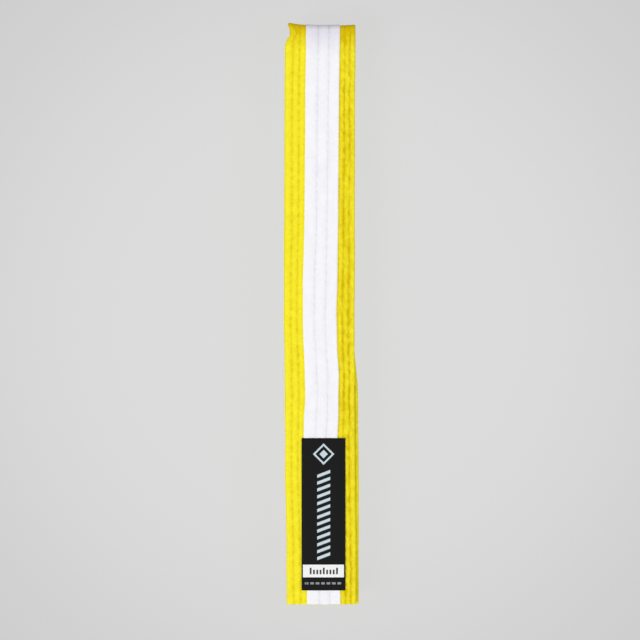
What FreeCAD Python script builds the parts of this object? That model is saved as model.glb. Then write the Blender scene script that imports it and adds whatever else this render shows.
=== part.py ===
"""A quilted cotton martial arts belt, folded into a flat stack of eight runs joined by seven folds.

Millimetres. X is across the belt, Y along it and Z up through the stack. The origin is under the middle of
the whole folded belt, on the surface it lies on. Run 1 lies on that surface. Run 8, with the label, is on top.
Odd folds are at the +Y end and even folds at the -Y end, so both free ends of the belt point to -Y.
"""

import FreeCAD, Part
import math
import operator
import os
from types import SimpleNamespace

import Sketcher

RUN_COUNT = 8
PLY_COUNT = 3

DIMENSIONS = {
    "belt_width": 42.5,
    "edge_radius": 1.2,
    "cover_wall": 0.5,
    "ply_thick": 0.58,
    "ply_gap": 0.03,
    "stripe_width": 20.6,
    "stripe_thick": 0.4,
    "layer_gap": 0.4,
    "run_length": 343.9,
    "front_extra": 5.0,
    "row_middle": 3.3,
    "row_inner": 13.8,
    "row_outer": 17.5,
    "thread_width": 0.5,
    "thread_depth": 0.2,
    "label_width": 26.6,
    "label_length": 92.6,
    "label_thick": 0.4,
    "label_margin": 8.6,
    "label_shift": 2.1,
    "border_inset": 0.25,
    "border_width": 0.4,
    "border_depth": 0.15,
}


class Length:
    """A length in millimetres together with its formula, which binds a feature to the sheet."""

    def __init__(self, value, formula):
        self.value = value
        self.formula = formula

    def joined(self, other, sign, combine, swapped=False):
        if not isinstance(other, Length):
            other = Length(other, str(other))
        first, second = (other, self) if swapped else (self, other)
        formula = f"({first.formula} {sign} {second.formula})"
        return Length(combine(first.value, second.value), formula)

    def __add__(self, other):
        return self.joined(other, "+", operator.add)

    def __sub__(self, other):
        return self.joined(other, "-", operator.sub)

    def __rsub__(self, other):
        return self.joined(other, "-", operator.sub, swapped=True)

    def __mul__(self, other):
        return self.joined(other, "*", operator.mul)

    def __truediv__(self, other):
        return self.joined(other, "/", operator.truediv)

    def __neg__(self):
        return self * -1

    __rmul__ = __mul__


size = SimpleNamespace(**{name: Length(value, f"Dims.{name}") for name, value in DIMENSIONS.items()})

# Lengths worked out from the sheet. The section's middle is at height 0, half way through the belt.
CENTRE = Length(0, "0")
PLY_STEP = size.ply_thick + size.ply_gap
CORE_THICK = PLY_COUNT * PLY_STEP - size.ply_gap
COVER_THICK = 2 * size.cover_wall + CORE_THICK
BELT_THICK = COVER_THICK + 2 * size.stripe_thick
PITCH = BELT_THICK + size.layer_gap
BEND_RADIUS = PITCH / 2
BEND_REACH = BEND_RADIUS + BELT_THICK / 2
CORE_WIDTH = size.belt_width - 2 * size.cover_wall
FRONT_LENGTH = size.run_length + size.front_extra
RUN_START = (size.front_extra - size.run_length - BEND_REACH) / 2
RUN_END = RUN_START + size.run_length
FRONT_START = RUN_START - size.front_extra

COVER_ROWS = (size.row_inner, size.row_outer)
STRIPE_ROWS = (size.row_middle,)
HALF_TURN = 180

doc = FreeCAD.newDocument("martial_arts_belt")
sub_parts = []


def fill_sheet():
    """The driving dimensions, one named cell each."""
    sheet = doc.addObject("Spreadsheet::Sheet", "Dims")
    for row, (name, value) in enumerate(DIMENSIONS.items(), start=1):
        sheet.set(f"A{row}", name)
        sheet.set(f"B{row}", str(value))
        sheet.setAlias(f"B{row}", name)
    doc.recompute()


def add_body(label):
    body = doc.addObject("PartDesign::Body", label)
    body.Label = label
    body.AllowCompound = True
    sub_parts.append(body)
    return body


def place(body, y, z, x=CENTRE, turned=False):
    """Puts a body at a place, turned half round about Z for a fold at the -Y end."""
    turn = FreeCAD.Rotation(FreeCAD.Vector(0, 0, 1), HALF_TURN if turned else 0)
    body.Placement = FreeCAD.Placement(FreeCAD.Vector(), turn)
    body.setExpression("Placement.Base.x", x.formula)
    body.setExpression("Placement.Base.y", y.formula)
    body.setExpression("Placement.Base.z", z.formula)


def add_sketch(body, name, role):
    plane = next(feature for feature in body.Origin.OriginFeatures if feature.Role == role)
    sketch = body.newObject("Sketcher::SketchObject", f"{body.Name}_{name}")
    sketch.AttachmentSupport = [(plane, "")]
    sketch.MapMode = "FlatFace"
    return sketch


def bind(sketch, kind, *where, length):
    """Adds a dimension to a sketch and ties it to the sheet."""
    index = sketch.addConstraint(Sketcher.Constraint(kind, *where, length.value))
    sketch.setExpression(f"Constraints[{index}]", length.formula)


def rectangle(sketch, left, bottom, width, height):
    """A rectangle measured from the sketch's origin."""
    x, y = left.value, bottom.value
    w, h = width.value, height.value
    corners = [FreeCAD.Vector(x, y, 0), FreeCAD.Vector(x + w, y, 0)]
    corners += [FreeCAD.Vector(x + w, y + h, 0), FreeCAD.Vector(x, y + h, 0)]
    sides = [Part.LineSegment(corners[i], corners[(i + 1) % 4]) for i in range(4)]
    low, right, high, back = sketch.addGeometry(sides)
    for one, other in ((low, right), (right, high), (high, back), (back, low)):
        sketch.addConstraint(Sketcher.Constraint("Coincident", one, 2, other, 1))
    for side in (low, high):
        sketch.addConstraint(Sketcher.Constraint("Horizontal", side))
    for side in (right, back):
        sketch.addConstraint(Sketcher.Constraint("Vertical", side))
    bind(sketch, "DistanceX", low, 1, low, 2, length=width)
    bind(sketch, "DistanceY", right, 1, right, 2, length=height)
    bind(sketch, "DistanceX", -1, 1, low, 1, length=left)
    bind(sketch, "DistanceY", -1, 1, low, 1, length=bottom)


def centred_rectangle(sketch, middle, width, height, across=CENTRE):
    """A rectangle about a middle height, and about a place across the belt."""
    rectangle(sketch, across - width / 2, middle - height / 2, width, height)


def rounded_outline(sketch, middle):
    """The outside of the cover: a flat tube with rounded edges, its middle at the given height."""
    half_w = size.belt_width.value / 2
    half_h = COVER_THICK.value / 2
    radius = size.edge_radius.value
    height = middle.value
    flat_w, flat_h = half_w - radius, half_h - radius
    up = FreeCAD.Vector(0, 0, 1)

    def corner(side, level, first_degrees):
        centre = FreeCAD.Vector(side * flat_w, height + level * flat_h, 0)
        start = math.radians(first_degrees)
        return Part.ArcOfCircle(Part.Circle(centre, up, radius), start, start + math.pi / 2)

    def edge(x1, y1, x2, y2):
        return Part.LineSegment(FreeCAD.Vector(x1, height + y1, 0), FreeCAD.Vector(x2, height + y2, 0))

    pieces = [
        edge(-flat_w, -half_h, flat_w, -half_h),
        corner(1, -1, 270),
        edge(half_w, -flat_h, half_w, flat_h),
        corner(1, 1, 0),
        edge(flat_w, half_h, -flat_w, half_h),
        corner(-1, 1, 90),
        edge(-half_w, flat_h, -half_w, -flat_h),
        corner(-1, -1, 180),
    ]
    ids = sketch.addGeometry(pieces)
    for i, piece in enumerate(ids):
        after = ids[(i + 1) % len(ids)]
        sketch.addConstraint(Sketcher.Constraint("Tangent", piece, 2, after, 1))
    low, right, high, left = ids[0], ids[2], ids[4], ids[6]
    for side in (low, high):
        sketch.addConstraint(Sketcher.Constraint("Horizontal", side))
    for side in (right, left):
        sketch.addConstraint(Sketcher.Constraint("Vertical", side))
    arcs = ids[1::2]
    for arc in arcs[1:]:
        sketch.addConstraint(Sketcher.Constraint("Equal", arcs[0], arc))
    bind(sketch, "Radius", arcs[0], length=size.edge_radius)
    bind(sketch, "DistanceX", left, 1, right, 1, length=size.belt_width)
    bind(sketch, "DistanceY", low, 1, high, 2, length=COVER_THICK)
    bind(sketch, "DistanceX", -1, 1, right, 1, length=size.belt_width / 2)
    bind(sketch, "DistanceY", -1, 1, low, 1, length=middle - COVER_THICK / 2)


def draw_cover(sketch, middle):
    """The cover's section: the rounded outside and the square space that the core fills."""
    rounded_outline(sketch, middle)
    centred_rectangle(sketch, middle, CORE_WIDTH, CORE_THICK)


def draw_plies(sketch, middle):
    """The core's plies, one on another with a hair's gap between them."""
    for ply in range(PLY_COUNT):
        level = middle + (ply - (PLY_COUNT - 1) / 2) * PLY_STEP
        centred_rectangle(sketch, level, CORE_WIDTH, size.ply_thick)


def draw_stripes(sketch, middle):
    """The two stripes, one sewn on each face of the cover."""
    for face in (-1, 1):
        level = middle + face * (COVER_THICK + size.stripe_thick) / 2
        centred_rectangle(sketch, level, size.stripe_width, size.stripe_thick)


def draw_rows(sketch, rows, surface, height):
    """A small rectangle at each stitch row on both faces, from the groove's floor up to the given height."""
    for row in rows:
        for side in (-1, 1):
            left = side * row - size.thread_width / 2
            floor = surface / 2 - size.thread_depth
            rectangle(sketch, left, floor, size.thread_width, height)
            rectangle(sketch, left, -floor - height, size.thread_width, height)


def pad_along(body, sketch, name, length):
    """Extrudes a section from the body's origin towards +Y."""
    pad = body.newObject("PartDesign::Pad", f"{body.Name}_{name}")
    pad.Profile = sketch
    pad.Reversed = True
    pad.setExpression("Length", length.formula)
    body.Tip = pad
    return pad


def cut_grooves(body, rows, surface, length):
    """Sinks the stitch rows into a surface along its whole length. The cutter stands proud of the surface."""
    sketch = add_sketch(body, "groove_section", "XZ_Plane")
    draw_rows(sketch, rows, surface, 2 * size.thread_depth)
    pocket = body.newObject("PartDesign::Pocket", f"{body.Name}_grooves")
    pocket.Profile = sketch
    pocket.setExpression("Length", length.formula)
    body.Tip = pocket


def run_height(number):
    """How high the middle of a run lies."""
    return BELT_THICK / 2 + (number - 1) * PITCH


def add_run_cover(number, start, length):
    body = add_body(f"run_{number}_cover")
    section = add_sketch(body, "section", "XZ_Plane")
    draw_cover(section, CENTRE)
    pad_along(body, section, "tube", length)
    if number in (1, RUN_COUNT):
        closure = add_sketch(body, "end_section", "XZ_Plane")
        rounded_outline(closure, CENTRE)
        pad_along(body, closure, "turned_in_end", size.cover_wall)
    cut_grooves(body, COVER_ROWS, COVER_THICK, length)
    place(body, start, run_height(number))


def add_run_core(number, start, length):
    body = add_body(f"run_{number}_core_plies")
    section = add_sketch(body, "section", "XZ_Plane")
    draw_plies(section, CENTRE)
    if number in (1, RUN_COUNT):
        start = start + size.cover_wall
        length = length - size.cover_wall
    pad_along(body, section, "plies", length)
    place(body, start, run_height(number))


def add_run_stripes(number, start, length):
    body = add_body(f"run_{number}_stripes")
    section = add_sketch(body, "section", "XZ_Plane")
    draw_stripes(section, CENTRE)
    pad_along(body, section, "stripes", length)
    cut_grooves(body, STRIPE_ROWS, BELT_THICK, length)
    place(body, start, run_height(number))


def add_run_threads(number, start, length):
    body = add_body(f"run_{number}_seam_threads")
    section = add_sketch(body, "section", "XZ_Plane")
    draw_rows(section, COVER_ROWS, COVER_THICK, size.thread_depth)
    draw_rows(section, STRIPE_ROWS, BELT_THICK, size.thread_depth)
    pad_along(body, section, "threads", length)
    place(body, start, run_height(number))


def add_run(number):
    is_front = number == RUN_COUNT
    start = FRONT_START if is_front else RUN_START
    length = FRONT_LENGTH if is_front else size.run_length
    for add_layer in (add_run_cover, add_run_core, add_run_stripes, add_run_threads):
        add_layer(number, start, length)


def add_fold(number):
    """The bend between two runs: each strip's section turned half round a line across the belt."""
    at_far_end = number % 2 == 1
    layers = {"cover": draw_cover, "core_plies": draw_plies, "stripes": draw_stripes}
    for layer, draw_section in layers.items():
        body = add_body(f"fold_{number}_{layer}")
        section = add_sketch(body, "section", "XZ_Plane")
        draw_section(section, -BEND_RADIUS)
        bend = body.newObject("PartDesign::Revolution", f"{body.Name}_bend")
        bend.Profile = section
        bend.ReferenceAxis = (section, ["H_Axis"])
        bend.Angle = HALF_TURN
        body.Tip = bend
        height = run_height(number) + BEND_RADIUS
        place(body, RUN_END if at_far_end else RUN_START, height, turned=not at_far_end)


def draw_border(sketch):
    """The path of the label's border stitching: a narrow frame inside its edge."""
    for inset in (size.border_inset, size.border_inset + size.border_width):
        centred_rectangle(sketch, CENTRE, size.label_width - 2 * inset, size.label_length - 2 * inset)


def add_label():
    """The woven label on the front run, with its border stitching sunk into it."""
    y = FRONT_START + size.label_margin + size.label_length / 2
    z = BELT_THICK + (RUN_COUNT - 1) * PITCH

    label = add_body("label")
    outline = add_sketch(label, "outline", "XY_Plane")
    centred_rectangle(outline, CENTRE, size.label_width, size.label_length)
    patch = label.newObject("PartDesign::Pad", "label_patch")
    patch.Profile = outline
    patch.setExpression("Length", size.label_thick.formula)
    groove = add_sketch(label, "border", "XY_Plane")
    groove.setExpression("AttachmentOffset.Base.z", size.label_thick.formula)
    draw_border(groove)
    border = label.newObject("PartDesign::Pocket", "label_border")
    border.Profile = groove
    border.setExpression("Length", size.border_depth.formula)
    label.Tip = border
    place(label, y, z, x=size.label_shift)

    stitching = add_body("label_stitching")
    frame = add_sketch(stitching, "frame", "XY_Plane")
    draw_border(frame)
    thread = stitching.newObject("PartDesign::Pad", "label_thread")
    thread.Profile = frame
    thread.setExpression("Length", size.border_depth.formula)
    stitching.Tip = thread
    place(stitching, y, z + size.label_thick - size.border_depth, x=size.label_shift)


def check_and_export():
    """Stops on a failed object or a bad shape, and otherwise writes one file for each sub-part."""
    for feature in doc.Objects:
        if "Invalid" in feature.State or "Error" in feature.State:
            raise RuntimeError(f"{feature.Name} failed: {feature.State}")
    for body in sub_parts:
        if body.Shape.isNull() or not body.Shape.isValid():
            raise RuntimeError(f"{body.Label} has no valid shape")
    os.makedirs("parts", exist_ok=True)
    for body in sub_parts:
        body.Shape.exportStep(f"parts/{body.Label}.step")
        box = body.Shape.BoundBox
        print(f"{body.Label}: {len(body.Shape.Solids)} solids, {body.Shape.Volume:.1f} mm3, "
              f"y {box.YMin:.2f} to {box.YMax:.2f}, z {box.ZMin:.2f} to {box.ZMax:.2f}")


fill_sheet()
for run in range(1, RUN_COUNT + 1):
    add_run(run)
for fold in range(1, RUN_COUNT):
    add_fold(fold)
add_label()
doc.recompute()
check_and_export()
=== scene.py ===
"""A quilted cotton martial arts belt with a white stripe on each face, folded into a stack of eight runs.

Lengths are in millimetres until a mesh is made. X is across the belt, Y along it and Z up. A place on the
belt has three numbers: along, the length from the end that has the label; across, from the middle of the
belt's width; and out, from the middle of its thickness towards its front face, which has the label.
"""

import math

import bpy
import numpy as np
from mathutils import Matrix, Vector


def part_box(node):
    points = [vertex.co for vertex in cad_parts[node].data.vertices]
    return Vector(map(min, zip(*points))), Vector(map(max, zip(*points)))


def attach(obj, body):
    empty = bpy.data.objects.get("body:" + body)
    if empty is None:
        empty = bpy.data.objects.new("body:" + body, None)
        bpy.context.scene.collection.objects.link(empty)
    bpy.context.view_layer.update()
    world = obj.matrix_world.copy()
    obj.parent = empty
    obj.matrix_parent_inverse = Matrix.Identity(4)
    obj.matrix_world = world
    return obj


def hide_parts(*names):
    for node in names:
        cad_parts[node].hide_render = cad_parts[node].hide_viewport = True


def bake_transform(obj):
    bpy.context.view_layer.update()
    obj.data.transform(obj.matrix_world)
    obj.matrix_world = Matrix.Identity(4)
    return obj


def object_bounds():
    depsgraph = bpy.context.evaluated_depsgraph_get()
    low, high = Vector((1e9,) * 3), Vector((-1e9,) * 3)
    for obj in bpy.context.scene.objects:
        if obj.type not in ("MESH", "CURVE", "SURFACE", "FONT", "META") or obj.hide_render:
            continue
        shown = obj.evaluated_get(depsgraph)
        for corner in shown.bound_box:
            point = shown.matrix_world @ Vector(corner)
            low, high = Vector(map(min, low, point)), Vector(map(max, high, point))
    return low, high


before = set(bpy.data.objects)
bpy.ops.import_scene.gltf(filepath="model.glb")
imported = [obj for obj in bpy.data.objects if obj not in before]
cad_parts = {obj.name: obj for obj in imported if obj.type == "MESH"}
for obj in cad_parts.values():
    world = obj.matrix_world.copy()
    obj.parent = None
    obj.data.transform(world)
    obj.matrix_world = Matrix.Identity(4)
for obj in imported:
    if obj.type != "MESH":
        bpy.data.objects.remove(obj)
cad_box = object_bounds()

MM = 0.001
RUNS = 8
FRONT, BACK = 1, -1
TAU = 2 * math.pi


def corners(node):
    low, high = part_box(node)
    return np.array(low) / MM, np.array(high) / MM


# The belt's measures, from the frame.
cover_low, cover_high = corners("run_1_cover")
stripe_low, stripe_high = corners("run_1_stripes")
label_low, label_high = corners("label")
HALF_WIDTH = (cover_high[0] - cover_low[0]) / 2
HALF_COVER = (cover_high[2] - cover_low[2]) / 2
HALF_STRIPE = (stripe_high[0] - stripe_low[0]) / 2
HALF_BELT = (stripe_high[2] - stripe_low[2]) / 2
STRIPE_THICK = HALF_BELT - HALF_COVER
NEAR_Y, FAR_Y = cover_low[1], cover_high[1]
FREE_Y = corners(f"run_{RUNS}_cover")[0][1]
PITCH = corners("run_2_cover")[0][2] - cover_low[2]
BEND = PITCH / 2
BEND_LENGTH = math.pi * BEND
FIRST_HEIGHT = (cover_low[2] + cover_high[2]) / 2

# The quilting: seams side by side along the belt, each a row of stitches.
COVER_SEAMS = (-17.5, -13.8, 13.8, 17.5)
STRIPE_SEAMS = (-3.3, 3.3)
SEAMS = COVER_SEAMS + STRIPE_SEAMS
STITCH = 5.3
GROOVE_WIDTH = 1.1
GROOVE_DEPTH = 0.11
HOLE_WIDTH = 0.6
HOLE_LENGTH = 0.95
HOLE_DEPTH = 0.4
STRIPE_GROOVE_WIDER, STRIPE_HOLE_SHALLOWER = 1.5, 0.7
SEAM_PHASE = 0.37
THREAD_RADIUS = 0.16

# The cloth.
COVER_WALL = 0.45
EDGE_ROUND = 1.4
EDGE_THIN = 0.28
VALLEY_DEPTH = 0.26
PLIES = 3
PLY_GAP = 0.04
CORE_CLEARANCE = 0.25
INNER_EVERY = 4
FRONT_STEP = STITCH / 8
HIDDEN_STEP = STITCH / 3
FOLD_STEPS = 8


def lay_out_spans():
    """The length along the belt, from the label's end, where each run and each fold begins and ends."""
    spans, at = {}, 0.0
    for number in range(RUNS, 0, -1):
        run_length = FAR_Y - (FREE_Y if number == RUNS else NEAR_Y)
        spans["run", number] = (at, at + run_length)
        at += run_length
        if number > 1:
            spans["fold", number - 1] = (at, at + BEND_LENGTH)
            at += BEND_LENGTH
    return spans


SPANS = lay_out_spans()


def along_of(run, y):
    """The length along the belt of a place in a run, given by its y."""
    first, last = SPANS["run", run]
    return last - (FAR_Y - y) if run % 2 == 0 else first + (FAR_Y - y)


def smooth(value):
    value = np.clip(value, 0, 1)
    return value * value * (3 - 2 * value)


def wander(along, across, length, width, seed):
    """Smooth noise from -1 to 1 whose lumps are about length long and width wide."""
    a, b = along / length + 7.31 * seed, across / width + 3.77 * seed
    i, j = np.floor(a), np.floor(b)

    def lattice(row, column):
        value = np.sin(row * 12.9898 + column * 78.233 + seed * 37.719) * 43758.5453
        return 2 * (value - np.floor(value)) - 1

    p, q = smooth(a - i), smooth(b - j)
    low = lattice(i, j) * (1 - p) + lattice(i + 1, j) * p
    high = lattice(i, j + 1) * (1 - p) + lattice(i + 1, j + 1) * p
    return low * (1 - q) + high * q


# How the folded belt lies: it is not laid quite straight, and its stripe isn't sewn on quite straight. Each
# entry is a run, a Y in it and the shift along X there.
BELT_SHIFTS = [
    (8, FREE_Y, 0.9), (8, -130, 0.7), (8, -95, 0.2), (8, -40, 0.0), (8, 0, -0.25), (8, 60, 0.1),
    (8, FAR_Y, 0.25), (7, 60, -0.1), (7, 0, -0.7), (7, -22, -0.4), (7, -48, 2.2), (7, NEAR_Y, 2.6),
    (6, -60, 1.2), (6, -22, -0.5), (6, 20, -0.7), (6, FAR_Y, 0.0), (5, 20, -0.6), (5, -22, -0.5),
    (5, NEAR_Y, 1.4), (4, -22, -0.5), (4, 20, -0.7), (4, FAR_Y, -0.2), (3, 30, -0.6), (3, -22, -0.5),
    (3, NEAR_Y, 1.7), (2, -40, 0.2), (2, 0, -0.6), (2, FAR_Y, 0.0), (1, 20, -0.6), (1, -22, -0.4),
    (1, NEAR_Y, 1.2),
]
STRIPE_SHIFTS = [
    (8, FREE_Y, 2.0), (8, -100, 0.6), (8, -75, 0.4), (8, -52, 1.6), (8, -34, 1.7), (8, -22, 0.6),
    (8, 0, 0.1), (8, 30, 0.5), (8, 60, 1.1), (8, 121, 1.6), (8, FAR_Y, 2.0), (7, 60, 1.0), (7, -60, -0.4),
    (6, -60, 0.6), (6, 80, -0.5), (5, 0, 0.8), (4, -90, -0.3), (4, 90, 0.9), (3, 0, -0.6), (2, -60, 0.7),
    (2, 90, -0.2), (1, 60, 0.8), (1, NEAR_Y, 0.0),
]


def shift_at(along, shifts):
    """Reads a list of sideways shifts at places on the belt, and rounds its corners."""
    places = [along_of(run, y) for run, y, _ in shifts]
    values = [value for _, _, value in shifts]
    reach = 5.0
    near = np.interp(along - reach, places, values) + np.interp(along + reach, places, values)
    return (near + 2 * np.interp(along, places, values)) / 4


def from_far_end(along):
    """How far a place is from the nearest bend at the far end of the stack. It is below 0 inside a bend."""
    distance = np.full(np.shape(along), FAR_Y - NEAR_Y)
    for (kind, number), (first, last) in SPANS.items():
        if kind == "fold" and number % 2 == 1:
            beside = np.maximum(first - along, along - last)
            inside = -(BEND + HALF_BELT) * np.sin(np.clip((along - first) / BEND, 0, math.pi))
            distance = np.minimum(distance, np.where(beside > 0, beside, inside))
    return distance


# The waist at the left edge: its depth, how far before the bend it is, and how far it reaches each way.
WAIST_DEPTH = 2.9
WAIST_BEFORE_BEND = 1.5
WAIST_ON_RUN, WAIST_IN_TOP_BEND, WAIST_IN_LOWER_BENDS = 3.4, 5.6, 30.0


def pinch(along, across):
    """Cloth drawn in at the left edge where every layer goes into its bend at the far end.

    In the top bend it comes out again towards the corner, and it stays drawn in below that one.
    """
    before_waist = from_far_end(along) - WAIST_BEFORE_BEND
    in_top_bend = along < SPANS["run", RUNS - 1][0] + WAIST_BEFORE_BEND
    past_waist = np.where(in_top_bend, WAIST_IN_TOP_BEND, WAIST_IN_LOWER_BENDS)
    reach = np.where(before_waist > 0, WAIST_ON_RUN, past_waist)
    at_left = smooth((-across - 12.5) / 7)
    return WAIST_DEPTH * np.exp(-((before_waist / reach) ** 2)) * at_left


def sideways(along, across):
    """The X of a place on the belt."""
    middle = 1 - (across / HALF_WIDTH) ** 2
    wavering = 0.22 * wander(along, 0, 31, 1, 3) + 0.16 * np.sign(across) * wander(along, 0, 13, 1, 4)
    x = across + shift_at(along, BELT_SHIFTS) + wavering + middle * shift_at(along, STRIPE_SHIFTS)
    return x + pinch(along, across)


def belt_line(along):
    """Y and Z of the middle of the belt, and the direction that its front faces in Y and in Z."""
    y, z = np.zeros_like(along), np.zeros_like(along)
    face_y, face_z = np.zeros_like(along), np.zeros_like(along)
    for (kind, number), (first, last) in SPANS.items():
        here = (along >= first - 1e-9) & (along <= last + 1e-9)
        if kind == "run":
            to_far = 1 if number % 2 == 0 else -1
            y[here] = FAR_Y - (last - along[here] if to_far == 1 else along[here] - first)
            z[here] = FIRST_HEIGHT + (number - 1) * PITCH
            face_y[here], face_z[here] = 0, to_far
        else:
            side = 1 if number % 2 == 1 else -1
            turned = (along[here] - first) / BEND
            y[here] = (FAR_Y if side == 1 else NEAR_Y) + side * BEND * np.sin(turned)
            z[here] = FIRST_HEIGHT + (number - 0.5) * PITCH + BEND * np.cos(turned)
            face_y[here], face_z[here] = np.sin(turned), side * np.cos(turned)
    return y, z, face_y, face_z


RIGHT_DROOP, LEFT_DROOP = 0.42, 0.12
SECOND_RUN_LIFT = 1.35
LIFT_FROM_FAR_END = 185


def droop(along, across):
    """How far the belt's sides hang. The second run's right side is lifted where it shows."""
    first, last = SPANS["run", RUNS - 1]
    shown = smooth((along - first - LIFT_FROM_FAR_END) / 30) * smooth((last - along) / 12)
    lifted = SECOND_RUN_LIFT * shown * smooth((across - 9) / 11)
    right = RIGHT_DROOP * smooth((across - 8) / 13)
    left = LEFT_DROOP * smooth((-across - 11) / 10)
    return right + left - lifted


# How far along Y some folds are moved at their left corner, in their middle and at their right corner.
# Folds 2 and 4 are tucked in there.
FOLD_REACH = {7: (2.1, 0.0, 1.0), 6: (-0.3, 0.0, -2.0), 4: (0.9, 0.9, 0.9), 2: (0.0, 0.0, 1.6)}


def fold_reach(along, across):
    """How far the folds' corners and middles stand out or are tucked in."""
    reach = np.zeros(np.broadcast(along, across).shape)
    side = np.abs(across / HALF_WIDTH) ** 2.5
    for number, (left, middle, right) in FOLD_REACH.items():
        first, last = SPANS["fold", number]
        in_fold = np.sin(np.clip((along - first) / (last - first), 0, 1) * math.pi)
        corner = np.where(across < 0, left, right)
        reach = reach + in_fold * (middle + side * (corner - middle))
    return reach


def lay(along, across, out):
    """X, Y and Z of places on the belt. along has one number for each row of across and out."""
    along = np.asarray(along, float)[:, None]
    y, z, face_y, face_z = belt_line(along)
    across, out = np.broadcast_arrays(across, out)
    lift = 0.06 * wander(along, across, 47, 60, 5)
    return np.stack([
        sideways(along, across) + 0 * out,
        y + (out + lift) * face_y + fold_reach(along, across),
        z + (out + lift) * face_z - droop(along, across),
    ], axis=-1)


def needle(along, seam):
    """1 at a needle hole of a seam, falling to 0 between two holes."""
    place = along / STITCH + SEAM_PHASE * seam
    hole = np.round(place)
    strength = 0.8 + 0.35 * wander(hole, 0, 1, 1, 71 + seam)
    return strength * np.exp(-(((place - hole) * STITCH / HOLE_LENGTH) ** 2))


CALM_REACH = 7
CALM_SHARE = 0.75


def calm(along):
    """1 on the runs, and less in the folds, where the cloth is stretched or squeezed smooth."""
    in_folds = np.zeros_like(along)
    for (kind, _), (first, last) in SPANS.items():
        if kind == "fold":
            beside = np.maximum(first - along, along - last)
            in_folds = np.maximum(in_folds, 1 - smooth(beside / CALM_REACH))
    return 1 - CALM_SHARE * in_folds


def seam_depth(along, across):
    """From 0 to 1, how deep in a seam a place is: 1 in a needle hole."""
    depth = np.zeros(np.broadcast(along, across).shape)
    for index, seam in enumerate(SEAMS):
        aside = across - seam
        on_stripe = seam in STRIPE_SEAMS
        wider, shallower = (STRIPE_GROOVE_WIDER, STRIPE_HOLE_SHALLOWER) if on_stripe else (1.0, 1.0)
        groove = np.exp(-((aside / (wider * GROOVE_WIDTH)) ** 2))
        hole = np.exp(-((aside / HOLE_WIDTH) ** 2)) * needle(along, index)
        depth = depth + GROOVE_DEPTH * groove + shallower * HOLE_DEPTH * hole
    return depth / (GROOVE_DEPTH + HOLE_DEPTH)


def beside_stripe(along, across):
    """The narrow valleys along the stripe's two edges, from 0 to 1. The right one is deeper."""
    left = 0.45 * np.exp(-(((across + HALF_STRIPE + 0.5) / 0.6) ** 2))
    right = np.exp(-(((across - HALF_STRIPE - 0.45) / 0.55) ** 2))
    return (left + right) * (0.75 + 0.25 * wander(along, across, 14, 30, 51))


def creases(along, across, face):
    """Soft swellings and small slanting creases, more of them on the yellow sides than on the stripe."""
    side = smooth((np.abs(across) - HALF_STRIPE) / 2)
    right = smooth((across - HALF_STRIPE) / 2)
    slanted = along + 0.55 * across
    fine = wander(slanted, across, 2.1, 1.5, 11 * face)
    broad = wander(along - 0.3 * across, across, 4.6, 2.7, 13 * face)
    gentle = wander(along, across, 19, 8, 17 * face)
    amount = 0.05 + 0.08 * side + 0.11 * right
    return amount * (0.75 * fine + 0.8 * broad) + 0.04 * gentle


def relief(along, across, face):
    """How far the cloth stands out of its plain surface."""
    sunk = (GROOVE_DEPTH + HOLE_DEPTH) * seam_depth(along, across)
    return calm(along) * creases(along, across, face) - sunk


def fold_dye(along, reach):
    """From 0 to 1, how much painted shade a place gets within a reach of a bend at the far end, where the
    cloth curves away from the light.
    """
    return smooth(1 - (from_far_end(along) + 3) / (reach + 3)) ** 1.5


def cover_dye(along, across, face):
    """How far the yellow is mixed towards its shaded colour: random mottle, and painted shade in the seams,
    beside the stripe, near the far bends and on the right side, away from the key light.
    """
    # The right side is painted darker: painted shade, as the key light comes from the left.
    right = smooth((across - 4) / 10)
    patches = 0.5 + 0.5 * wander(along - 0.8 * across, across, 3.4, 1.7, 61 * face)
    spots = 0.5 + 0.5 * wander(along + 0.6 * across, across, 1.9, 1.3, 67 * face)
    tracks = sum(np.exp(-(((np.abs(across) - seam) / 1.4) ** 2)) for seam in COVER_SEAMS[2:])
    # Painted shade in the seams' grooves and needle holes, and a painted shadow in the valleys beside the
    # stripe's edges.
    painted_seam_and_edge_shade = 0.55 * seam_depth(along, across) + 0.8 * beside_stripe(along, across)
    # Mottle in patches along the outer seams and in spots: partly random tone, partly painted crease shade,
    # made stronger on the right side.
    mottle = (0.22 + 0.5 * right) * tracks * patches ** 1.5 + (0.1 + 0.3 * right) * spots ** 2
    return 0.1 * right + painted_seam_and_edge_shade + mottle + 0.85 * fold_dye(along, 14)


def stripe_dye(along, across, face):
    """How far the white is mixed towards its shaded colour: painted shade in the seams and near the far bends,
    and a little random mottle.
    """
    clouds = 0.5 + 0.5 * wander(along, across, 9, 2.6, 63 * face)
    return 0.45 * seam_depth(along, across) + 0.5 * fold_dye(along, 22) + 0.09 * clouds


def cover_out(along, across, face):
    """How far the cover's face is from the middle of the belt."""
    thin = EDGE_THIN * smooth((np.abs(across) - HALF_STRIPE) / (HALF_WIDTH - HALF_STRIPE))
    valley = VALLEY_DEPTH * beside_stripe(along, across)
    return HALF_COVER - thin - valley + relief(along, across, face)


def stripe_out(along, across, face):
    return cover_out(along, across, face) + STRIPE_THICK


def face_places():
    """Places across one face of the cover, closer together at the seams."""
    half = [0, 0.85, 5.9, 7.1, 8.3, 9.2, 9.9, 10.4, 10.8, 11.3, HALF_WIDTH - EDGE_ROUND]
    for seam in (STRIPE_SEAMS[1], *COVER_SEAMS[2:]):
        half += [seam + step for step in (-1.6, -0.9, -0.45, 0, 0.45, 0.9, 1.6)]
    half = sorted(half)
    return np.array([-place for place in half[:0:-1]] + half)


FACE_PLACES = face_places()
ARC_POINTS = 5


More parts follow.
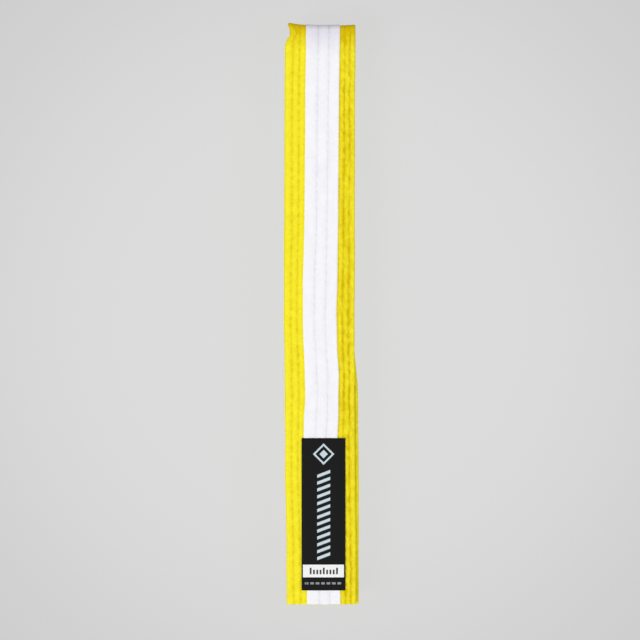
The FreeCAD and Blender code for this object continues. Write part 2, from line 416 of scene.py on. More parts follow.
def cover_loop():
    """The cover's section, once round: where each point is across, and its share of the half thickness."""
    turn = np.arange(1, ARC_POINTS + 1) * math.pi / (ARC_POINTS + 1)
    flat = HALF_WIDTH - EDGE_ROUND
    right = flat + EDGE_ROUND * np.sin(turn)
    across = np.concatenate([FACE_PLACES, right, FACE_PLACES[::-1], -right])
    ones = np.ones(len(FACE_PLACES))
    share = np.concatenate([ones, np.cos(turn), -ones, -np.cos(turn)])
    return across, share


def cover_shell(along, across, share, inwards=0.0):
    """The out of the points of a cover section, on its outside or a wall's thickness further in."""
    along = np.asarray(along, float)[:, None]
    front = cover_out(along, across, FRONT) - inwards
    back = cover_out(along, across, BACK) - inwards
    return np.where(share > 0, share * front, share * back)


def stations(first, last, step):
    """Lengths along the belt from first to last, a whole number of equal steps."""
    count = max(2, round((last - first) / step))
    return np.linspace(first, last, count + 1)


def fold_stations(first, last):
    """Lengths along half a fold, with one beside each end so that its end faces meet the run's smoothly."""
    beside = 0.03
    inner = stations(first, last, (last - first) / FOLD_STEPS)[1:-1]
    return np.concatenate([[first, first + beside], inner, [last - beside, last]])


# ---- meshes


def ring_quads(rows, columns):
    """The side faces of a tube made of rings of points."""
    row = np.arange(rows - 1)[:, None] * columns
    column = np.arange(columns)[None, :]
    after = (column + 1) % columns
    next_row = row + columns
    quads = np.stack([row + column, row + after, next_row + after, next_row + column], axis=-1)
    return quads.reshape(-1, 4)


def is_inside_out(points, quads):
    """Whether the side faces of a tube look inwards."""
    points = points - points.mean(axis=0)
    a, b, c, d = (points[quads[:, corner]] for corner in range(4))
    return (a * (np.cross(b, c) + np.cross(c, d))).sum() < 0


def points_of_corners(mesh):
    points = np.zeros(len(mesh.loops), np.int32)
    mesh.loops.foreach_get("vertex_index", points)
    return points


SHARP_ANGLE = math.radians(55)


def add_piece(name, points, faces, material, cloth, dye):
    """Makes a mesh piece. cloth is each point's place in the flat cloth, and the last argument how far its
    colour is mixed towards its shaded colour, by mottle and painted shade.
    """
    mesh = bpy.data.meshes.new(name)
    mesh.from_pydata((points * MM).tolist(), [], faces)
    mesh.shade_smooth()
    mesh.set_sharp_from_angle(angle=SHARP_ANGLE)
    # The mask of mottle and painted shade, which the materials read.
    mesh.attributes.new("dye", "FLOAT", "POINT").data.foreach_set("value", dye.astype(np.float32))
    places = (cloth[points_of_corners(mesh)] * MM).astype(np.float32)
    mesh.uv_layers.new(name="cloth").uv.foreach_set("vector", places.ravel())
    mesh.materials.append(material)
    piece = bpy.data.objects.new(name, mesh)
    bpy.context.scene.collection.objects.link(piece)
    return piece


class Bundle:
    """Closed tubes of one material, gathered into one piece."""

    def __init__(self):
        self.points, self.cloth, self.dye, self.faces = [], [], [], []
        self.count = 0

    def add(self, points, cloth, dye=0.0):
        """Adds a tube given as rows of rings, with a face across each end."""
        rows, columns = points.shape[:2]
        points = points.reshape(-1, 3)
        quads = ring_quads(rows, columns)
        caps = [np.arange(columns)[::-1], np.arange(columns) + (rows - 1) * columns]
        if is_inside_out(points, quads):
            quads = quads[:, ::-1]
            caps = [cap[::-1] for cap in caps]
        self.faces += (quads + self.count).tolist() + [(cap + self.count).tolist() for cap in caps]
        self.points.append(points)
        self.cloth.append(cloth.reshape(-1, 2))
        self.dye.append(np.broadcast_to(dye, (rows, columns)).ravel())
        self.count += rows * columns

    def make(self, name, material):
        points, cloth, dye = (np.concatenate(part) for part in (self.points, self.cloth, self.dye))
        return add_piece(name, points, self.faces, material, cloth, dye)


def on_belt(along, across, out):
    """Points of a section swept along the belt, and their places in the flat cloth."""
    shape = (len(along), np.shape(across)[-1])
    across = np.broadcast_to(across, shape)
    lengths = np.broadcast_to(np.asarray(along)[:, None], shape)
    return lay(along, across, np.broadcast_to(out, shape)), np.stack([across, lengths], axis=-1)


# The turned-in end of the cover: how far along each row is, and its share of the thickness. The cloth rounds
# over the edge and goes back inside, where its two layers close a narrow slot.
END_ROWS = ((2.2, 0.06), (0.5, 0.10), (0.12, 0.26), (0.0, 0.5), (0.1, 0.72), (0.45, 0.92))
END_SOLID = 2.6


def turned_in(along, closed):
    """The rows of a cover with its first or last end turned in, and each row's share of the thickness."""
    steps, shares = np.array(END_ROWS).T
    if closed == "first":
        kept = along[along > along[0] + 1]
        return np.concatenate([along[0] + steps, kept]), np.concatenate([shares, np.ones(len(kept))])
    if closed == "last":
        kept = along[along < along[-1] - 1]
        rows = np.concatenate([kept, along[-1] - steps[::-1]])
        return rows, np.concatenate([np.ones(len(kept)), shares[::-1]])
    return along, np.ones(len(along))


def held_back(along, closed, gap):
    """The same places, but ending a gap before the closed end."""
    first = along[0] + (gap if closed == "first" else 0)
    last = along[-1] - (gap if closed == "last" else 0)
    between = along[(along > first + 0.2) & (along < last - 0.2)]
    return np.concatenate([[first], between, [last]])


def add_cover(name, along, closed=None):
    """A tube of cloth with an outside and an inside. closed is the turned-in end: first, last or None."""
    across, share = cover_loop()
    outer_along, rises = turned_in(along, closed)
    outer_out = cover_shell(outer_along, across, share) * rises[:, None]
    outer, outer_cloth = on_belt(outer_along, across, outer_out)

    picked = slice(0, None, INNER_EVERY)
    inner_along = held_back(along, closed, END_SOLID)
    inner_out = cover_shell(inner_along, across, share, COVER_WALL)[:, picked]
    narrower = (HALF_WIDTH - COVER_WALL) / HALF_WIDTH
    inner, inner_cloth = on_belt(inner_along, across[picked] * narrower, inner_out)

    rows, columns = outer.shape[:2]
    inner_rows, inner_columns = inner.shape[:2]
    start = rows * columns
    outer_quads = ring_quads(rows, columns)
    inner_quads = ring_quads(inner_rows, inner_columns)[:, ::-1] + start
    faces = outer_quads.tolist() + inner_quads.tolist()
    for end, row, inner_row in (("first", 0, 0), ("last", rows - 1, inner_rows - 1)):
        outer_ring = row * columns
        inner_ring = start + inner_row * inner_columns
        if closed == end:
            cap = list(range(outer_ring, outer_ring + columns))
            plug = list(range(inner_ring, inner_ring + inner_columns))
            faces += [cap[::-1], plug] if end == "first" else [cap, plug[::-1]]
            continue
        for cell in range(inner_columns):
            rim = [outer_ring + (cell * INNER_EVERY + i) % columns for i in range(INNER_EVERY, -1, -1)]
            ring = rim + [inner_ring + cell, inner_ring + (cell + 1) % inner_columns]
            faces.append(ring if end == "first" else ring[::-1])
    if is_inside_out(outer.reshape(-1, 3), outer_quads):
        faces = [face[::-1] for face in faces]

    # Each face's mask of mottle and painted shade; the inside has none.
    lengths = outer_along[:, None]
    dye = np.where(share > 0, cover_dye(lengths, across, FRONT), cover_dye(lengths, across, BACK))
    points = np.concatenate([outer.reshape(-1, 3), inner.reshape(-1, 3)])
    cloth = np.concatenate([outer_cloth.reshape(-1, 2), inner_cloth.reshape(-1, 2)])
    dye = np.concatenate([dye.ravel(), np.zeros(inner_rows * inner_columns)])
    return add_piece(name, points, faces, yellow_cotton, cloth, dye)


# The stripe's edge, turned under: how far inside the edge each point is, and its share of the thickness.
STRIPE_EDGE = ((0.55, 1.0), (0.2, 0.86), (0.0, 0.45))
HEM_PLACE = 9.2
HEM_RISE = 0.07


def add_stripe(name, along, faces_made):
    """The white stripe on one face of the belt, or on both."""
    inset, rises = np.array(STRIPE_EDGE).T
    tops = [place for place in FACE_PLACES if abs(place) < HALF_STRIPE - inset[0]]
    across = np.concatenate([-(HALF_STRIPE - inset[::-1]), tops, HALF_STRIPE - inset])
    rise = np.concatenate([rises[::-1], np.ones(len(tops)), rises])
    lengths = along[:, None]
    at_hem = np.exp(-(((np.abs(across) - HEM_PLACE) / 0.8) ** 2))
    hem = HEM_RISE * calm(lengths) * at_hem
    low_across = np.broadcast_to(across[::-3], (len(along), len(across[::-3])))
    stripe = Bundle()
    for face in faces_made:
        waver = 0.14 * wander(lengths, 0, 17, 1, 21 * face) * np.sign(across) * (across / HALF_STRIPE) ** 4
        top_across = across + waver
        top = cover_out(lengths, top_across, face) + (STRIPE_THICK + hem) * rise
        low = cover_out(lengths, low_across, face) - 0.05
        section = np.concatenate([top_across, low_across], axis=1)
        # The stripe's top gets its mask of mottle and painted shade; its underside gets none.
        tone = np.concatenate([stripe_dye(lengths, top_across, face), 0 * low_across], axis=1)
        stripe.add(*on_belt(along, section, face * np.concatenate([top, low], axis=1)), tone)
    return stripe.make(name, white_cotton)


def add_core(name, along):
    """The core's plies of plain cotton, one on another, held down by the seams."""
    across = FACE_PLACES[1:-1:2] * (HALF_WIDTH - 2 * COVER_WALL) / (HALF_WIDTH - EDGE_ROUND)
    at_seams = sum(np.exp(-(((across - seam) / GROOVE_WIDTH) ** 2)) for seam in SEAMS)
    lowered = (GROOVE_DEPTH + HOLE_DEPTH) * at_seams
    thin = EDGE_THIN * smooth((np.abs(across) - HALF_STRIPE) / (HALF_WIDTH - HALF_STRIPE))
    half = HALF_COVER - COVER_WALL - CORE_CLEARANCE - thin - lowered
    core = Bundle()
    for ply in range(PLIES):
        low = half * (2 * ply / PLIES - 1) + PLY_GAP / 2
        high = half * (2 * (ply + 1) / PLIES - 1) - PLY_GAP / 2
        section = np.concatenate([across, across[::-1]])
        core.add(*on_belt(along, section, np.concatenate([high, low[::-1]])))
    return core.make(name, core_cotton)


# One stitch: how far along it each ring of the thread is, in stitches, and how far above the cloth.
STITCH_RINGS = ((0.0, -0.5), (0.08, -0.14), (0.22, 0.03), (0.5, 0.06), (0.78, 0.03), (0.92, -0.14))
RING_PLACES, RING_HEIGHTS = np.array(STITCH_RINGS).T
THREAD_TURN = np.arange(6) * TAU / 6
BEND_CLEARANCE = 0.03


def add_stitches(name, ends, seams, surface, tone, material, between=()):
    """The visible threads of some seams on both faces, each of which dives in at every needle hole.

    surface and tone give the height of the cloth below it and its mask of mottle and painted shade. between
    holds extra places for rings, for a thread that goes round a bend.
    """
    threads = Bundle()
    for face in (FRONT, BACK):
        for seam in seams:
            phase = SEAM_PHASE * SEAMS.index(seam)
            first_hole, last_hole = ends[0] / STITCH + phase, ends[1] / STITCH + phase
            holes = np.arange(math.floor(first_hole), math.ceil(last_hole) + 1)
            knots = ((holes[:, None] + RING_PLACES - phase) * STITCH).ravel()
            inside = knots[(knots > ends[0] + 0.05) & (knots < ends[1] - 0.05)]
            along = np.union1d(np.concatenate([ends, inside]), between)
            height = np.interp(along, knots, np.tile(RING_HEIGHTS, len(holes)))
            sway = seam + 0.1 * wander(along, 0, 9, 1, 31 + seam)
            middle = surface(along[:, None], sway[:, None], face) + height[:, None]
            out = np.minimum(middle + THREAD_RADIUS * np.sin(THREAD_TURN), BEND - BEND_CLEARANCE)
            points, _ = on_belt(along, sway[:, None] + THREAD_RADIUS * np.cos(THREAD_TURN), face * out)
            cloth = np.stack(np.broadcast_arrays(THREAD_TURN, along[:, None]), axis=-1)
            threads.add(points, cloth, tone(along, sway, face)[:, None])
    return threads.make(name, material)


# ---- materials


def from_srgb(*levels):
    """A linear colour from one given as three numbers up to 255."""
    return (*(((level / 255 + 0.055) / 1.055) ** 2.4 for level in levels), 1.0)


def new_group(name, inputs, outputs):
    """A shader node group with named sockets, given as name, kind and default value."""
    group = bpy.data.node_groups.new(name, "ShaderNodeTree")
    for direction, sockets in (("INPUT", inputs), ("OUTPUT", outputs)):
        for label, kind, value in sockets:
            socket = group.interface.new_socket(label, in_out=direction, socket_type=f"NodeSocket{kind}")
            if value is not None:
                socket.default_value = value
    return group, group.nodes.new("NodeGroupInput"), group.nodes.new("NodeGroupOutput")


def math_node(tree, operation, *values, clamp=False):
    """A Math node whose inputs are sockets or numbers. Returns its result."""
    node = tree.nodes.new("ShaderNodeMath")
    node.operation = operation
    node.use_clamp = clamp
    for socket, value in zip(node.inputs, values):
        if isinstance(value, (int, float)):
            socket.default_value = value
        else:
            tree.links.new(value, socket)
    return node.outputs[0]


def mix_colours(tree, share, first, second):
    node = tree.nodes.new("ShaderNodeMix")
    node.data_type = "RGBA"
    for socket, value in ((node.inputs[0], share), (node.inputs[6], first), (node.inputs[7], second)):
        if isinstance(value, (tuple, float)):
            socket.default_value = value
        else:
            tree.links.new(value, socket)
    return node.outputs[2]


def noise(tree, vector, scale, detail=2.0):
    node = tree.nodes.new("ShaderNodeTexNoise")
    node.inputs["Detail"].default_value = detail
    if isinstance(scale, (int, float)):
        node.inputs["Scale"].default_value = scale
    else:
        tree.links.new(scale, node.inputs["Scale"])
    tree.links.new(vector, node.inputs["Vector"])
    return node.outputs["Fac"]


def make_weave_group():
    """Threads that cross over and under: their height, and a mask of the gaps between them, which are painted
    darker as painted shade.
    """
    group, given, result = new_group(
        "woven_threads",
        [("Cloth", "Vector", None), ("Threads per Metre", "Float", 1700.0), ("Unevenness", "Float", 0.3)],
        [("Height", "Float", None), ("Gaps", "Float", None)],
    )
    parts = group.nodes.new("ShaderNodeSeparateXYZ")
    group.links.new(given.outputs["Cloth"], parts.inputs[0])
    threads = given.outputs["Threads per Metre"]
    turns = math_node(group, "MULTIPLY", threads, math.pi)
    turned = [math_node(group, "MULTIPLY", parts.outputs[i], turns) for i in (0, 1)]
    crossing = math_node(group, "MULTIPLY", *(math_node(group, "SINE", turn) for turn in turned))
    yarn = noise(group, given.outputs["Cloth"], math_node(group, "MULTIPLY", threads, 0.45))
    uneven = math_node(group, "SUBTRACT", yarn, 0.5)
    uneven = math_node(group, "MULTIPLY", uneven, given.outputs["Unevenness"])
    half = math_node(group, "MULTIPLY_ADD", crossing, 0.5, 0.5)
    group.links.new(math_node(group, "ADD", half, uneven), result.inputs["Height"])
    open_share = math_node(group, "SUBTRACT", 1.0, math_node(group, "ABSOLUTE", crossing))
    group.links.new(math_node(group, "POWER", open_share, 3.0), result.inputs["Gaps"])
    return group


def make_tone_group():
    """The colour of cotton: deeper where its mask of mottle and painted shade is high, deeper in the gaps of
    the weave as painted shade, and never quite even.
    """
    group, given, result = new_group(
        "cotton_tone",
        [("Cloth", "Vector", None), ("Colour", "Color", (1, 1, 1, 1)),
         ("Deep Colour", "Color", (0.5, 0.5, 0.5, 1)), ("Gaps", "Float", 0.0), ("Gap Share", "Float", 0.2),
         ("Dye", "Float", 0.0), ("Mottle", "Float", 0.2)],
        [("Colour", "Color", None)],
    )
    broad = noise(group, given.outputs["Cloth"], 160.0)
    fine = noise(group, given.outputs["Cloth"], 620.0)
    clouds = math_node(group, "SUBTRACT", math_node(group, "ADD", broad, fine), 1.0)
    share = math_node(group, "MULTIPLY_ADD", clouds, given.outputs["Mottle"], given.outputs["Dye"])
    gaps, gap_share = given.outputs["Gaps"], given.outputs["Gap Share"]
    # Painted shade in the gaps between the threads.
    share = math_node(group, "MULTIPLY_ADD", gaps, gap_share, share, clamp=True)
    mixed = mix_colours(group, share, given.outputs["Colour"], given.outputs["Deep Colour"])
    group.links.new(mixed, result.inputs["Colour"])
    return group


def make_twist_group():
    """The slanting turns of a twisted thread."""
    group, given, result = new_group(
        "twisted_thread",
        [("Cloth", "Vector", None), ("Turn Length", "Float", 0.0009)],
        [("Height", "Float", None)],
    )
    parts = group.nodes.new("ShaderNodeSeparateXYZ")
    group.links.new(given.outputs["Cloth"], parts.inputs[0])
    round_it = math_node(group, "MULTIPLY", parts.outputs[0], 1 / MM)
    turns = math_node(group, "DIVIDE", parts.outputs[1], given.outputs["Turn Length"])
    wave = math_node(group, "SINE", math_node(group, "MULTIPLY_ADD", turns, TAU, round_it))
    group.links.new(math_node(group, "MULTIPLY_ADD", wave, 0.5, 0.5), result.inputs["Height"])
    return group


WEAVE, TONE, TWIST = make_weave_group(), make_tone_group(), make_twist_group()


def place_group(tree, group, **values):
    """Puts a node group in a material. A value is a socket, a number or a colour.

    A _ in its name stands for a space in the socket's.
    """
    node = tree.nodes.new("ShaderNodeGroup")
    node.node_tree = group
    for name, value in values.items():
        socket = node.inputs[name.replace("_", " ")]
        if isinstance(value, bpy.types.NodeSocket):
            tree.links.new(value, socket)
        else:
            socket.default_value = value
    return node.outputs


def set_inputs(node, values):
    for name, value in values.items():
        node.inputs[name].default_value = value


def start_material(name, roughness, sheen, specular, sheen_colour):
    """A material with a Principled shader and the cloth's own coordinates."""
    material = bpy.data.materials.new(name)
    material.use_nodes = True
    tree = material.node_tree
    shader = tree.nodes["Principled BSDF"]
    set_inputs(shader, {"Roughness": roughness, "Sheen Weight": sheen, "Sheen Roughness": 0.5,
                        "Sheen Tint": sheen_colour, "Specular IOR Level": specular})
    cloth = tree.nodes.new("ShaderNodeUVMap")
    cloth.uv_map = "cloth"
    return material, tree, shader, cloth.outputs["UV"]


def add_bump(tree, shader, height, depth):
    bump = tree.nodes.new("ShaderNodeBump")
    bump.inputs["Distance"].default_value = depth * MM
    tree.links.new(height, bump.inputs["Height"])
    tree.links.new(bump.outputs["Normal"], shader.inputs["Normal"])


def read_mask(tree, name):
    node = tree.nodes.new("ShaderNodeAttribute")
    node.attribute_name = name
    return node.outputs["Fac"]


def cotton(name, colour, deep, threads, mottle, gap_share, weave_depth, roughness=0.88, sheen=0.12):
    """Woven cloth of one colour, and of a deeper one where its mask of mottle and painted shade is high and,
    as painted shade, between its threads.
    """
    tint = from_srgb(*colour)
    material, tree, shader, cloth = start_material(name, roughness, sheen, 0.06, tint)
    weave = place_group(tree, WEAVE, Cloth=cloth, Threads_per_Metre=threads, Unevenness=0.45)
    tone = place_group(tree, TONE, Cloth=cloth, Colour=tint, Deep_Colour=from_srgb(*deep), Gaps=weave["Gaps"],
                       Gap_Share=gap_share, Dye=read_mask(tree, "dye"), Mottle=mottle)
    tree.links.new(tone["Colour"], shader.inputs["Base Color"])
    add_bump(tree, shader, weave["Height"], weave_depth)
    return material


def sewing_thread(name, colour, deep):
    """Twisted thread of one colour, and of a deeper one as painted shade between its turns and where its mask
    of mottle and painted shade is high.
    """
    tint = from_srgb(*colour)
    material, tree, shader, cloth = start_material(name, 0.6, 0.05, 0.12, tint)
    twist = place_group(tree, TWIST, Cloth=cloth)["Height"]
    # Painted shade between the turns of the thread.
    between_turns = math_node(tree, "SUBTRACT", 1.0, twist)
    tone = place_group(tree, TONE, Cloth=cloth, Colour=tint, Deep_Colour=from_srgb(*deep),
                       Gaps=between_turns, Gap_Share=0.3, Dye=read_mask(tree, "dye"), Mottle=0.1)
    tree.links.new(tone["Colour"], shader.inputs["Base Color"])
    add_bump(tree, shader, twist, 0.05)
    return material


def satin(name, colour, deep, mottle, gap_share):
    """The finer, smoother weave of the label."""
    return cotton(name, colour, deep, 2600, mottle, gap_share, 0.02, roughness=0.6, sheen=0.03)


# A cotton's colour, deeper colour, threads per metre, mottle, gap share and weave depth. The deeper colour is
# its shaded colour, painted where the mask of mottle and painted shade is high and in the weave's gaps. A
# satin has no threads or depth of its own.
YELLOW, SHADED_YELLOW = (250, 238, 48), (214, 187, 4)
WHITE, SHADED_WHITE = (248, 247, 251), (200, 198, 212)
yellow_cotton = cotton("yellow_cotton", YELLOW, SHADED_YELLOW, 1800, 0.5, 0.14, 0.05)
white_cotton = cotton("white_cotton", WHITE, SHADED_WHITE, 1800, 0.2, 0.08, 0.05)
core_cotton = cotton("core_cotton", (232, 226, 208), (186, 176, 150), 1200, 0.5, 0.4, 0.12)
yellow_thread = sewing_thread("yellow_thread", (248, 235, 40), SHADED_YELLOW)
white_thread = sewing_thread("white_thread", WHITE, SHADED_WHITE)
label_satin = satin("label_satin", (27, 27, 28), (17, 17, 18), 0.4, 0.3)
pale_satin = satin("pale_satin", (204, 219, 227), (160, 176, 187), 0.3, 0.3)
white_satin = satin("white_satin", (243, 243, 243), (205, 205, 207), 0.3, 0.2)
grey_satin = satin("grey_satin", (150, 151, 152), (100, 100, 102), 0.4, 0.3)
ink_satin = satin("ink_satin", (62, 62, 64), (45, 45, 46), 0.4, 0.3)
dark_thread = sewing_thread("dark_thread", (38, 38, 40), (20, 20, 21))


# ---- the belt


def follow_bend(piece, near_body, far_body, number, near_half):
    """Bakes the transform of half a fold into its mesh; the half stays where it was made."""
    if near_half:
        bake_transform(piece)
    else:
        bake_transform(piece)
    return piece


def lengths_of(piece):
    """Each point's length along the belt, from its place in the flat cloth."""
    mesh = piece.data
    values = np.zeros(2 * len(mesh.loops), np.float32)
    mesh.uv_layers["cloth"].uv.foreach_get("vector", values)
    lengths = np.zeros(len(mesh.vertices))
    lengths[points_of_corners(mesh)] = values[1::2] / MM
    return lengths


def add_threads(name, ends, between=()):
    """The yellow and the white stitching of a stretch of the belt."""
    return {
        "yellow": add_stitches(f"{name}_yellow_stitching", ends, COVER_SEAMS, cover_out, cover_dye,
                               yellow_thread, between),
        "white": add_stitches(f"{name}_white_stitching", ends, STRIPE_SEAMS, stripe_out, stripe_dye,
                              white_thread, between),
    }


def add_run(number):
    name = f"run_{number}"
    closed = {RUNS: "first", 1: "last"}.get(number)
    along = stations(*SPANS["run", number], FRONT_STEP if number == RUNS else HIDDEN_STEP)
    coarse = stations(along[0], along[-1], HIDDEN_STEP)
    pieces = {
        "cover": add_cover(f"{name}_cover_cloth", along, closed),
        "core": add_core(f"{name}_core_cloth", held_back(coarse[::4], closed, END_SOLID + 0.1)),
        "front": add_stripe(f"{name}_front_stripe", held_back(along, closed, 0.25), [FRONT]),
        "back": add_stripe(f"{name}_back_stripe", held_back(coarse, closed, 0.25), [BACK]),
        **add_threads(name, held_back(along, closed, 0.6)[[0, -1]]),
    }
    nodes = {"cover": "cover", "core": "core_plies", "front": "stripes", "back": "stripes",
             "yellow": "seam_threads", "white": "seam_threads"}
    for kind, piece in pieces.items():
        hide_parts(f"{name}_{nodes[kind]}")
        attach(piece, name)
    return pieces


def add_half_fold(number, upper):
    """Half of a fold: the upper half is the one next to the run above and the lower half the one next to the
    run below.
    """
    first, last = SPANS["fold", number]
    middle = (first + last) / 2
    along = fold_stations(first, middle) if upper else fold_stations(middle, last)
    name = f"fold_{number}_{'upper' if upper else 'lower'}"
    pieces = {
        "cover": add_cover(f"{name}_cover_cloth", along),
        "core": add_core(f"{name}_core_cloth", along),
        "stripes": add_stripe(f"{name}_stripes", along, [FRONT, BACK]),
        **add_threads(name, along[[0, -1]], along),
    }
    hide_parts(f"fold_{number}_cover")
    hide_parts(f"fold_{number}_core_plies")
    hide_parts(f"fold_{number}_stripes")
    bodies = (f"bend_{number}", f"run_{number + 1}") if upper else (f"run_{number}", f"bend_{number}")
    for piece in pieces.values():
        follow_bend(piece, *bodies, number, near_half=not upper)
        round_it = (lengths_of(piece) - first) / (last - first) * 2
    return pieces


def add_belt():
    runs = {number: add_run(number) for number in range(1, RUNS + 1)}
    halves = [(number, upper) for number in range(1, RUNS) for upper in (False, True)]
    folds = {half: add_half_fold(*half) for half in halves}
    return runs


runs = add_belt()


# ---- the label

LABEL_LIFT = 0.13
LABEL_THICK = 0.3
LABEL_HANG = 0.24
LABEL_STITCH = 2.4
PATTERN_DEPTH = 0.03
PATTERN_RISE = 0.04

label_middle = (label_low + label_high) / 2
LABEL_LEFT, LABEL_NEAR = label_low[:2]
LABEL_RIGHT, LABEL_FAR = label_high[:2]


def on_label(x, y, rise):
    """Places above the label's underside, which lies on the stripe and hangs a little past its edges."""
    shape = np.shape(x)
    x, y, rise = (np.broadcast_to(value, shape).ravel() for value in (x, y, rise))
    along = along_of(RUNS, y)
    across = x
    for _ in range(4):
        across = across + x - sideways(along, across)
    hang = LABEL_HANG * smooth((np.abs(across) - HALF_STRIPE) / 2.5)
    out = HALF_BELT + LABEL_LIFT - hang + 0.04 * wander(along, across, 16, 9, 41) + rise
    return lay(along, across[:, None], out[:, None]).reshape(*shape, 3)


def add_patch(bundle, outline, low, high, bevel=0.0, spacing=1.5):
    """A thin flat piece inside four corners, between two heights above the label's underside."""
    a, b, c, d = np.array(outline, float)
    width, length = np.linalg.norm(b - a), np.linalg.norm(d - a)

    def shares(size):
        places = np.linspace(0, size, max(2, round(size / spacing) + 1))
        return np.union1d(places, [bevel, size - bevel]) / size

    u, v = shares(width), shares(length)[:, None]
    near, far = a + (b - a) * u[:, None], d + (c - d) * u[:, None]
    flat = near + (far - near) * v[..., None]
    at_edge = (u == 0) | (u == 1) | (v == 0) | (v == 1)
    ring = np.concatenate([flat, flat[:, ::-1]], axis=1)
    rise = np.concatenate([high - bevel * at_edge, np.full(flat.shape[:2], low)], axis=1)
    bundle.add(on_label(ring[..., 0], ring[..., 1], rise), ring)


def rectangle(left, near, right, far):
    return (left, near), (right, near), (right, far), (left, far)


def add_label_patch():
    patch = Bundle()
    outline = rectangle(LABEL_LEFT, LABEL_NEAR, LABEL_RIGHT, LABEL_FAR)
    add_patch(patch, outline, 0.0, LABEL_THICK, bevel=0.12)
    return patch.make("label_patch", label_satin)


def add_label_border():
    """Dark stitches along the label's four sides, a little inside its edge."""
    low, high = corners("label_stitching")
    radius = 0.14
    ring = rectangle(low[0] + radius, low[1] + radius, high[0] - radius, high[1] - radius)
    border = Bundle()
    for start, end in zip(ring, ring[1:] + ring[:1]):
        start, step = np.array(start), np.subtract(end, start)
        length = np.linalg.norm(step)
        count = round(length / LABEL_STITCH)
        places = np.append((np.arange(count)[:, None] + RING_PLACES).ravel(), count) / count
        heights = np.append(np.tile(RING_HEIGHTS, count), RING_HEIGHTS[0]) / 2
        aside = radius * np.cos(THREAD_TURN)[:, None] * np.array([-step[1], step[0]]) / length
        rings = (start + step * places[:, None])[:, None] + aside
        rise = LABEL_THICK + heights[:, None] + radius * np.sin(THREAD_TURN)
        cloth = np.stack(np.broadcast_arrays(THREAD_TURN, length * places[:, None]), axis=-1)
        border.add(on_label(rings[..., 0], rings[..., 1], rise), cloth)
    return border.make("label_border", dark_thread)


def add_pattern(name, outlines, material, rise=PATTERN_RISE):
    """Part of the label's woven pattern: flat shapes that stand a hair above it."""
    pattern = Bundle()
    for outline in outlines:
        add_patch(pattern, outline, LABEL_THICK - PATTERN_DEPTH, LABEL_THICK + rise)
    return pattern.make(name, material)


def lozenge(x, y, half):
    return (x, y - half), (x + half, y), (x, y + half), (x - half, y)


# The pattern, sideways from PATTERN_X and down from the label's far end or up from its near end.
PATTERN_X = label_middle[0] + 0.1
LOZENGE_DOWN = 9.7
LOZENGE_HALF, LOZENGE_STROKE, LOZENGE_HEART = 6.5, 1.5, 2.6
BARS_DOWN = (19.3, 74.2)
BAR_COUNT, BAR_STROKE, BAR_SLANT = 13, 1.9, 3.0
BAR_LEFT, BAR_RIGHT = -3.9, 4.0
PANEL_UP, PANEL_INSET = (8.0, 15.7), 0.8
TICK_COUNT, TICK_WIDTH, TICK_UP = 9, 1.05, 1.9
TICKS_LEFT, TICKS_SPREAD = -8.4, 16.0
LONG_TICK, SHORT_TICK, LONG_TICK_EVERY = 3.9, 2.7, 4
DASH_COUNT, DASH_SPACING = 7, 3.3
DASH_SIDES, DASH_UP = (-11.4, -9.2), (3.7, 5.0)


def emblem():
    """A lozenge in a lozenge's outline."""
    y = LABEL_FAR - LOZENGE_DOWN
    outer = lozenge(PATTERN_X, y, LOZENGE_HALF)
    inner = lozenge(PATTERN_X, y, LOZENGE_HALF - LOZENGE_STROKE)
    sides = [(outer[i], outer[(i + 1) % 4], inner[(i + 1) % 4], inner[i]) for i in range(4)]
    return [*sides, lozenge(PATTERN_X, y, LOZENGE_HEART)]


def slanted_bars():
    far, near = (LABEL_FAR - down for down in BARS_DOWN)
    step = (far - near - BAR_SLANT - BAR_STROKE) / (BAR_COUNT - 1)
    left, right = PATTERN_X + BAR_LEFT, PATTERN_X + BAR_RIGHT
    bars = []
    for i in range(BAR_COUNT):
        y = near + i * step
        raised = y + BAR_SLANT
        bars.append(((left, y), (right, raised), (right, raised + BAR_STROKE), (left, y + BAR_STROKE)))
    return bars


def panel_ticks():
    near = LABEL_NEAR + PANEL_UP[0] + TICK_UP
    ticks = []
    for i in range(TICK_COUNT):
        left = PATTERN_X + TICKS_LEFT + i * TICKS_SPREAD / (TICK_COUNT - 1)
        height = LONG_TICK if i % LONG_TICK_EVERY == 0 else SHORT_TICK
        ticks.append(rectangle(left, near, left + TICK_WIDTH, near + height))
    return ticks


def dashes():
    near, far = (LABEL_NEAR + up for up in DASH_UP)
    left, right = (PATTERN_X + side for side in DASH_SIDES)
    moves = [DASH_SPACING * i for i in range(DASH_COUNT)]
    return [rectangle(left + move, near, right + move, far) for move in moves]


def add_label_pattern():
    """A plain pattern: a lozenge, a column of slanted bars, a panel with ticks and a dashed line."""
    near, far = (LABEL_NEAR + up for up in PANEL_UP)
    panel = rectangle(LABEL_LEFT + PANEL_INSET, near, LABEL_RIGHT - PANEL_INSET, far)
    return [
        add_pattern("label_lozenge_and_bars", emblem() + slanted_bars(), pale_satin),
        add_pattern("label_panel", [panel], white_satin),
        add_pattern("label_panel_ticks", panel_ticks(), ink_satin, 2 * PATTERN_RISE),
        add_pattern("label_dashes", dashes(), grey_satin),
    ]


def add_label():
    patch, border = add_label_patch(), add_label_border()
    pattern = add_label_pattern()
    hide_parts("label")
    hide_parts("label_stitching")
    for piece in (patch, border, *pattern):
        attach(piece, f"run_{RUNS}")


add_label()


# ---- floor, light and camera


FLOOR_HALF = 6.0
FLOOR_HEIGHT = -0.0004
# The floor's glow, a painted pool of light brightest in the middle of the view: its grey, up to 255, at
# distances in metres from the middle of the view.
FLOOR_GLOW = ((0.0, 221), (0.125, 220), (0.16, 218), (0.2, 214), (0.24, 209), (0.3, 204), (0.4, 202))


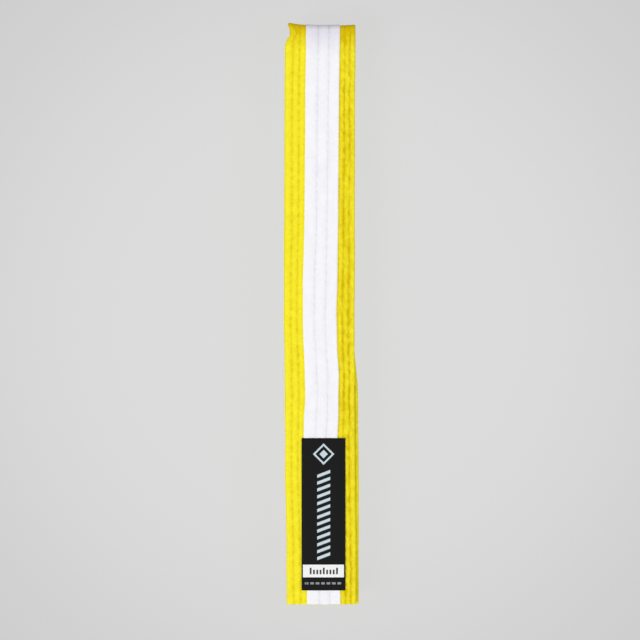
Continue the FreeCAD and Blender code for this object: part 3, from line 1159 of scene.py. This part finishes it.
def add_floor():
    mesh = bpy.data.meshes.new("floor")
    mesh.from_pydata([(*corner, 0) for corner in rectangle(-FLOOR_HALF, -FLOOR_HALF, FLOOR_HALF, FLOOR_HALF)],
                     [], [(0, 1, 2, 3)])
    floor = bpy.data.objects.new("floor", mesh)
    bpy.context.scene.collection.objects.link(floor)
    floor.location = (0, CAMERA_Y, FLOOR_HEIGHT)
    material = bpy.data.materials.new("glowing_floor")
    material.use_nodes = True
    tree = material.node_tree
    shader = tree.nodes["Principled BSDF"]
    place = tree.nodes.new("ShaderNodeTexCoord")
    length = tree.nodes.new("ShaderNodeVectorMath")
    length.operation = "LENGTH"
    tree.links.new(place.outputs["Object"], length.inputs[0])
    ramp = tree.nodes.new("ShaderNodeValToRGB")
    tree.links.new(length.outputs["Value"], ramp.inputs["Fac"])
    while len(ramp.color_ramp.elements) < len(FLOOR_GLOW):
        ramp.color_ramp.elements.new(0.5)
    for element, (radius, level) in zip(ramp.color_ramp.elements, FLOOR_GLOW):
        element.position = radius
        element.color = from_srgb(level, level, level)
    # The floor glows, with a painted pool of light that darkens outwards; its small base colour shows only a
    # faint shadow.
    tree.links.new(ramp.outputs["Color"], shader.inputs["Emission Color"])
    set_inputs(shader, {"Base Color": (0.06, 0.06, 0.06, 1), "Emission Strength": 0.91, "Roughness": 1.0,
                        "Specular IOR Level": 0.0})
    mesh.materials.append(material)


# The sun lamps: the direction each shines from and its strength.
SUNS = {"key_light": ((-0.62, -0.4, 1.0), 1.6), "fill_light": ((0.8, -0.1, 1.0), 0.75)}


def add_light():
    world = bpy.data.worlds.new("studio")
    bpy.context.scene.world = world
    world.use_nodes = True
    background = world.node_tree.nodes["Background"]
    set_inputs(background, {"Color": (1.0, 1.0, 1.0, 1), "Strength": 0.43})
    for name, (direction, strength) in SUNS.items():
        lamp = bpy.data.lights.new(name, "SUN")
        lamp.energy = strength
        lamp.angle = math.radians(30)
        sun = bpy.data.objects.new(name, lamp)
        sun.rotation_euler = Vector(direction).to_track_quat("Z", "Y").to_euler()
        bpy.context.scene.collection.objects.link(sun)


CAMERA_Y = -0.00335
CAMERA_RISE = 3.0
SEEN_WIDTH = 0.389


def add_camera():
    """Straight above the belt, far off, so that the whole stack is seen flat."""
    top = cad_box[1][2]
    camera = bpy.data.cameras.new("camera")
    camera.sensor_width = 36
    camera.lens = camera.sensor_width * CAMERA_RISE / SEEN_WIDTH
    camera.clip_end = 20
    eye = bpy.data.objects.new("camera", camera)
    eye.location = (0, CAMERA_Y, top + CAMERA_RISE)
    bpy.context.scene.collection.objects.link(eye)
    bpy.context.scene.camera = eye


add_floor()
add_light()
add_camera()
bpy.context.scene.view_settings.view_transform = "Standard"
